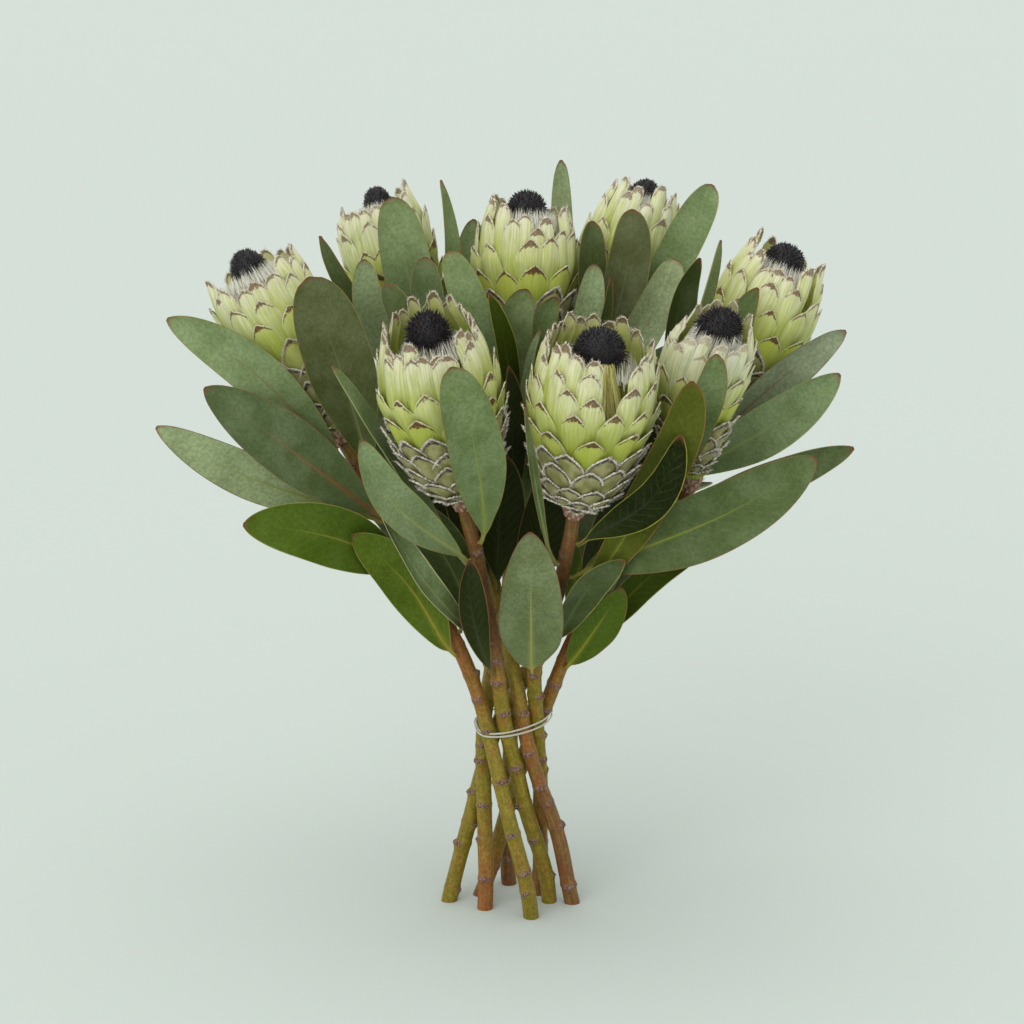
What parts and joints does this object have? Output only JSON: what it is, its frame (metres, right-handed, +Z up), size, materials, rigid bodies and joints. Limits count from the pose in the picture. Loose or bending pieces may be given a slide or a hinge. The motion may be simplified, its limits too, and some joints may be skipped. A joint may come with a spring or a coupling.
{
  "type": "hand-tied protea bouquet",
  "caption": "Hand-tied bunch of protea stems with creamy green flower heads, dark floret domes and leathery leaves, held by a rubber band and standing on its cut ends.",
  "frame": {"origin": "centre of the bounding box's bottom face, on the surface the cut ends stand on", "axes": "+Z up along the bunch, -Y towards the viewer of the picture, +X to the viewer's right"},
  "size_m": [0.4243, 0.2681, 0.4629],
  "materials": {
    "stem": "matte",
    "leaf": "satin",
    "bract": "matte",
    "floret": "matte",
    "rubber_band": "satin"
  },
  "bodies": {
    "root": {"stem_far_left": "stem", "stem_front_left": "stem", "stem_back_left": "stem", "stem_front_right": "stem", "stem_right": "stem", "stem_far_right": "stem", "stem_back_right": "stem", "stem_back_centre": "stem", "leaf_front_right_1": "leaf", "leaf_front_right_2": "leaf", "leaf_front_left_1": "leaf", "leaf_front_left_2": "leaf", "leaf_far_left_1": "leaf", "leaf_far_left_2": "leaf", "leaf_far_left_3": "leaf", "leaf_far_left_4": "leaf", "leaf_far_left_5": "leaf", "leaf_far_left_6": "leaf", "leaf_far_right_1": "leaf", "leaf_far_right_2": "leaf", "leaf_far_right_3": "leaf", "leaf_right_1": "leaf", "leaf_front_right_3": "leaf", "leaf_front_right_4": "leaf", "leaf_front_right_5": "leaf", "leaf_right_2": "leaf", "leaf_right_3": "leaf", "leaf_right_4": "leaf", "leaf_front_left_3": "leaf", "leaf_back_left_1": "leaf", "leaf_back_left_2": "leaf", "leaf_back_right_1": "leaf", "leaf_back_right_2": "leaf", "leaf_back_centre_1": "leaf", "leaf_back_left_3": "leaf", "leaf_back_centre_2": "leaf", "leaf_back_left_4": "leaf", "leaf_back_left_6": "leaf", "leaf_back_right_7": "leaf", "leaf_back_left_10": "leaf", "leaf_back_centre_8": "leaf", "leaf_back_right_8": "leaf", "leaf_far_right_9": "leaf", "bracts_far_left": "bract", "florets_far_left": "floret", "bracts_back_left": "bract", "florets_back_left": "floret", "bracts_back_centre": "bract", "florets_back_centre": "floret", "bracts_back_right": "bract", "florets_back_right": "floret", "bracts_far_right": "bract", "florets_far_right": "floret", "bracts_front_left": "bract", "florets_front_left": "floret", "bracts_front_right": "bract", "florets_front_right": "floret", "bracts_right": "bract", "florets_right": "floret", "rubber_band": "rubber_band"}
  },
  "joints": []
}
